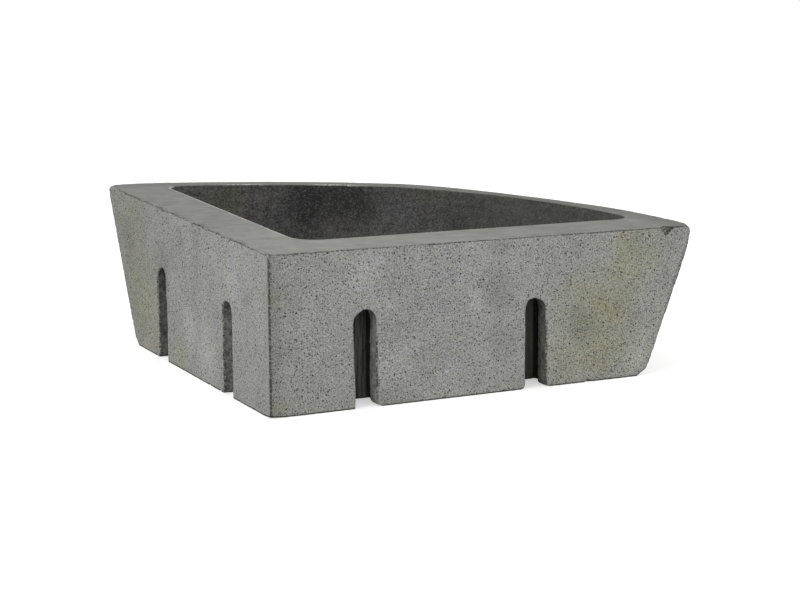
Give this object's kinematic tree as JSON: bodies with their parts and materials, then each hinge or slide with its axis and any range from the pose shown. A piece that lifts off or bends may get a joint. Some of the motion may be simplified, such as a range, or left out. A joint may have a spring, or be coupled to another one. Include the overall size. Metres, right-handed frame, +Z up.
{
  "type": "corner wash basin",
  "caption": "Quarter-round stone corner basin with leaning curved front, hanging slots in both wall faces and a push-open waste.",
  "frame": {"origin": "centre of the bounding box at the base's height; the drain's axis is at x = y = -0.040", "axes": "+Z up; the right wall's face looks to -Y, the left wall's face to -X; the curved front looks to +X +Y"},
  "size_m": [0.45, 0.45, 0.159],
  "materials": {
    "stone": "rough sawn outside, honed rim, sealed bowl",
    "chrome": "polished",
    "brass": "machined",
    "rubber": "matt",
    "plastic": "moulded",
    "steel": "drawn wire"
  },
  "bodies": {
    "basin_body": {"basin": "stone", "flange_seal": "rubber", "waste_body": "chrome", "under_seal": "rubber", "slip_washer": "plastic", "back_nut": "brass", "cartridge_sleeve": "plastic", "cartridge_spring": "steel"},
    "plug": {"latch_ring": "plastic", "plunger": "brass", "plug_disc": "rubber", "plug_cap": "chrome"}
  },
  "joints": [
    {"name": "plug_lift", "type": "slide", "parent": "basin_body", "child": "plug", "axis": [0, 0, 1], "range_m": [0, 0.009], "deforming": ["cartridge_spring"]}
  ]
}
